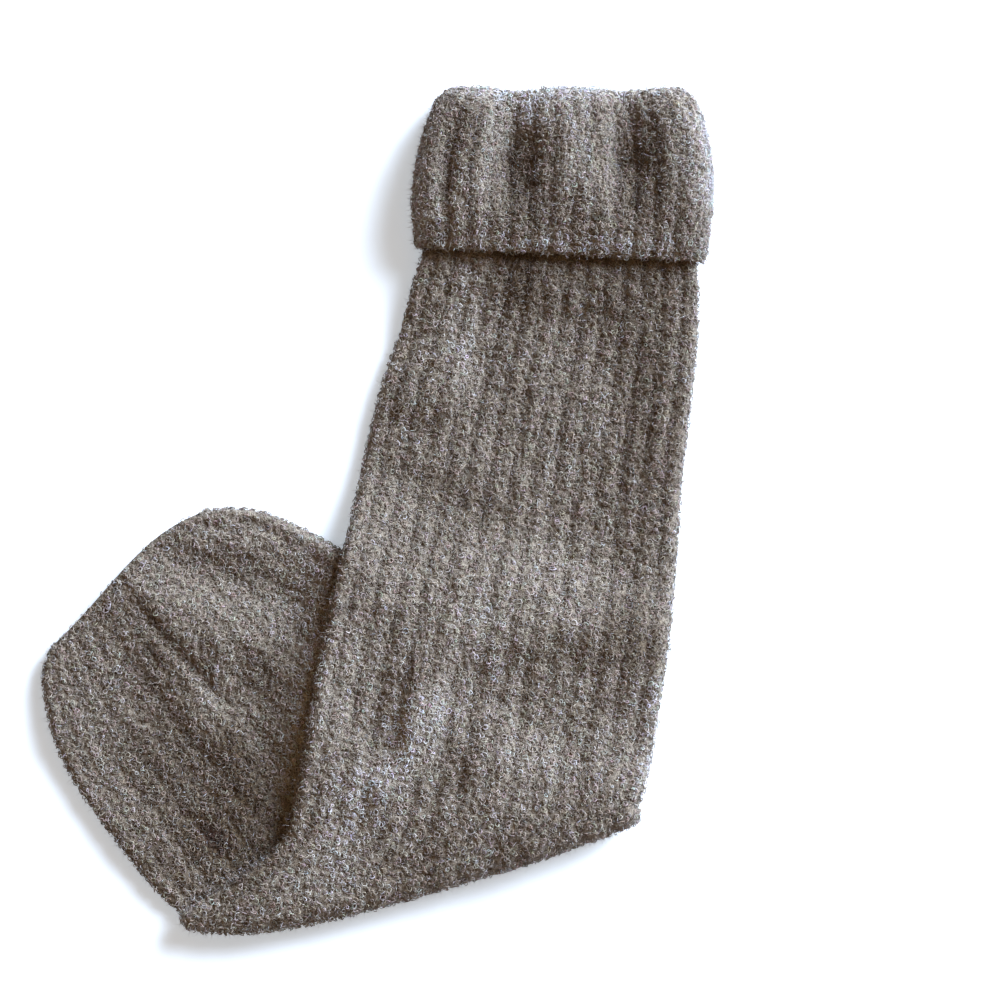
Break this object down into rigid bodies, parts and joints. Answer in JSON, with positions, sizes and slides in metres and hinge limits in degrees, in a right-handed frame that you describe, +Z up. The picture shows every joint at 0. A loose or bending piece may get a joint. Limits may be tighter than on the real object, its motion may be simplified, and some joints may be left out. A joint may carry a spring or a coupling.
{
  "type": "leg warmer",
  "caption": "Long rib-knit leg warmer in curly boucle yarn, laid flat, top turned down into a gathered cuff and the lower end folded under",
  "frame": {"origin": "centre of the bounding box in plan, on the surface that the garment lies on", "axes": "+Z up out of the surface, +Y towards the cuff, +X to the right as seen from above"},
  "size_m": [0.2994, 0.379, 0.0248],
  "materials": {
    "leg_knit": "matt boucle rib knit, heathered brown-grey",
    "cuff_knit": "matt boucle rib knit, heathered brown-grey, gathered at the top"
  },
  "bodies": {
    "root": {"leg": "leg_knit", "cuff": "cuff_knit"}
  },
  "joints": []
}
